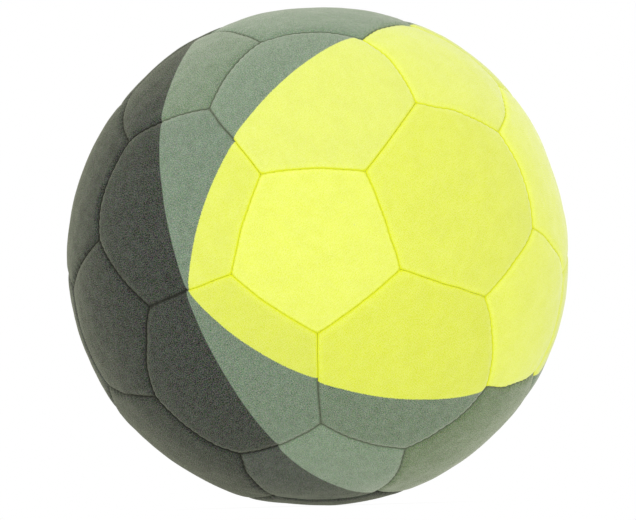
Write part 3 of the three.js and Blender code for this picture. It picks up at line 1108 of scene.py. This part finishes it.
# %% Outlines of the valve's two pieces
BORE = PLUG_STEM_RADIUS + RUNNING_GAP
HEAD_BORE = PLUG_HEAD_RADIUS + RUNNING_GAP
LIP_RADIUS = HEAD_BORE + LIP_WIDTH
UNDER_HEAD = VALVE_FACE - PLUG_HEAD_THICKNESS
SEAT = UNDER_HEAD - RUNNING_GAP
COLLAR_TOP = VALVE_FACE - LIP_HEIGHT
NEEDLE_END = VALVE_FACE - NEEDLE_DEPTH
BODY_PROFILE = [
    (BORE, BARREL_END),
    (BARREL_RADIUS, BARREL_END),
    on_ball(BARREL_RADIUS, FLANGE_UNDER),
    on_ball(FLANGE_RADIUS, FLANGE_UNDER),
    on_ball(FLANGE_RADIUS, FLANGE_UNDER - FLANGE_RIM),
    on_ball(COLLAR_RADIUS, FLANGE_UNDER - FLANGE_THICKNESS),
    (COLLAR_RADIUS, COLLAR_TOP),
    (LIP_RADIUS, COLLAR_TOP),
    (LIP_RADIUS, VALVE_FACE),
    (HEAD_BORE, VALVE_FACE),
    (HEAD_BORE, SEAT),
    (BORE, SEAT),
]
PLUG_PROFILE = [
    (0, PLUG_END),
    (PLUG_STEM_RADIUS, PLUG_END),
    (PLUG_STEM_RADIUS, UNDER_HEAD),
    (PLUG_HEAD_RADIUS, UNDER_HEAD),
    (PLUG_HEAD_RADIUS, VALVE_FACE),
    (FUNNEL_RADIUS, VALVE_FACE),
    (NEEDLE_RADIUS, VALVE_FACE - FUNNEL_DEPTH),
    (NEEDLE_RADIUS, NEEDLE_END),
    (0, NEEDLE_END),
]
for node, profile, closed in (("valve_body", BODY_PROFILE, True), ("valve_plug", PLUG_PROFILE, False)):
    piece = turn_piece(node + "_fine", profile, closed)
    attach(piece, BODY)
    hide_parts(node)
print_mm("From the crown down to the valve:", BALL_RADIUS - VALVE_FACE)

# %% [markdown]
# ## Floor and light
# The photograph shows the ball on plain white. A white floor lies under it and keeps its soft shadow.
# Most of the light comes evenly from all round, as in a studio tent, and one broad lamp above and in
# front of the ball shapes it. Two weaker ones, at the left and from behind, wake the felt's sheen.

# %% A white floor
FLOOR_SIZE = 12.0
FLOOR_FAR = 100 * MM  # from the ball, where no shadow is left
FLOOR_VEIL = 0.75  # how much of the shadow is lost in the floor's glare
FLOOR_GLOW = 0.6
WHITE = (1, 1, 1, 1)


def white_floor():
    floor = Recipe("white_floor")
    place = floor.place()
    far = floor.node("ShaderNodeVectorMath", {0: place}, operation="LENGTH").outputs["Value"]
    camera = floor.node("ShaderNodeLightPath").outputs["Is Camera Ray"]
    share = floor.product(floor.ramp(far, 0, FLOOR_FAR, FLOOR_VEIL, 1), camera)
    glow = floor.node("ShaderNodeEmission", {"Color": WHITE})
    floor.mix_in(share, glow.outputs[0])
    return floor.finish(
        Base_Color=(0.42, 0.42, 0.42, 1),
        Emission_Color=WHITE,
        Emission_Strength=FLOOR_GLOW,
        Roughness=0.8,
        Specular_IOR_Level=0.1,
        Normal=floor.bump(floor.noise(place, 2 * MM), 0.02 * MM, 0.3),
    )


def lay_floor():
    corners = FLOOR_SIZE / 2 * np.array([(-1, -1, 0), (1, -1, 0), (1, 1, 0), (-1, 1, 0)])
    floor = make_object("floor", corners, [(0, 1, 2, 3)], white_floor())
    floor.location.z = min(vertex.co.z for piece in felt_pieces for vertex in piece.data.vertices)
    return floor


print_mm("Floor at", lay_floor().location.z)

# %% Even light all round, and three soft lamps
TENT_LIGHT = 0.69
LAMPS = (  # name, degrees round and up, strength, and softness in degrees
    ("key_lamp", (-12, 48), 0.77, 50),
    ("left_lamp", (-100, 25), 0.14, 60),
    ("back_lamp", (180, 65), 0.35, 60),
)


def light_tent():
    """Even light from all round. What is seen of it, straight or in a gloss, is plain white."""
    tent = Recipe("light_tent", "worlds", "Background")
    path = tent.node("ShaderNodeLightPath").outputs
    seen = tent.math("MAXIMUM", path["Is Camera Ray"], path["Is Glossy Ray"])
    seen = tent.math("MAXIMUM", seen, path["Is Transmission Ray"])
    backdrop = tent.node("ShaderNodeBackground", {"Color": WHITE})
    tent.mix_in(seen, backdrop.outputs[0])
    bpy.context.scene.world = tent.finish(Color=WHITE, Strength=TENT_LIGHT)


def hang_lamp(name, place, strength, softness):
    """A sun lamp that shines on the ball from that direction, in degrees round and up."""
    data = bpy.data.lights.new(name, "SUN")
    data.energy = strength
    data.angle = math.radians(softness)
    lamp = put(name, data)
    lamp.rotation_euler = Vector(globe(*place)).to_track_quat("Z", "Y").to_euler()


light_tent()
for lamp in LAMPS:
    hang_lamp(*lamp)
print("Lamps:", ", ".join(lamp[0] for lamp in LAMPS))

# %% [markdown]
# ## Camera
# The corners of the pattern in the photograph give the camera's place. It stood far off, straight in
# front of the ball, just above the floor, a little to the right and turned a little. The lens follows
# from how large the ball shows. A small shift puts the ball where it lies in the picture.

# %% Place the camera
PICTURE = (636, 520)
BALL_AT = (319.8, 257.8)  # pixels, the middle of the ball
BALL_REACH = 250.2  # pixels, from there to its outline
CAMERA_EAST = 1.02  # degrees
CAMERA_UP = -3.18
CAMERA_TURN = -1.56
CAMERA_DISTANCE = 17  # ball radii


def place_camera():
    data = bpy.data.cameras.new("camera")
    camera = put("camera", data)
    bpy.context.scene.camera = camera
    matrix = Matrix()
    for angle, axis in ((CAMERA_EAST, "Z"), (90 - CAMERA_UP, "X"), (CAMERA_TURN, "Z")):
        matrix @= Matrix.Rotation(math.radians(angle), 4, axis)
    matrix.translation = Vector(globe(CAMERA_EAST, CAMERA_UP) * CAMERA_DISTANCE * BALL_RADIUS)
    camera.matrix_world = matrix
    focus = BALL_REACH * math.sqrt(CAMERA_DISTANCE**2 - 1)
    data.lens = data.sensor_width * focus / PICTURE[0]
    data.shift_x = (PICTURE[0] / 2 - BALL_AT[0]) / PICTURE[0]
    data.shift_y = (BALL_AT[1] - PICTURE[1] / 2) / PICTURE[0]
    data.clip_start, data.clip_end = 0.05, 50
    return camera


camera = place_camera()
print("Lens", round(camera.data.lens), "mm, camera", round(camera.location.length, 2), "m away")

# %% [markdown]
# ## Finish
# The plain view transform shows colours as they are written.

# %% Finish
bpy.context.scene.view_settings.view_transform = "Standard"
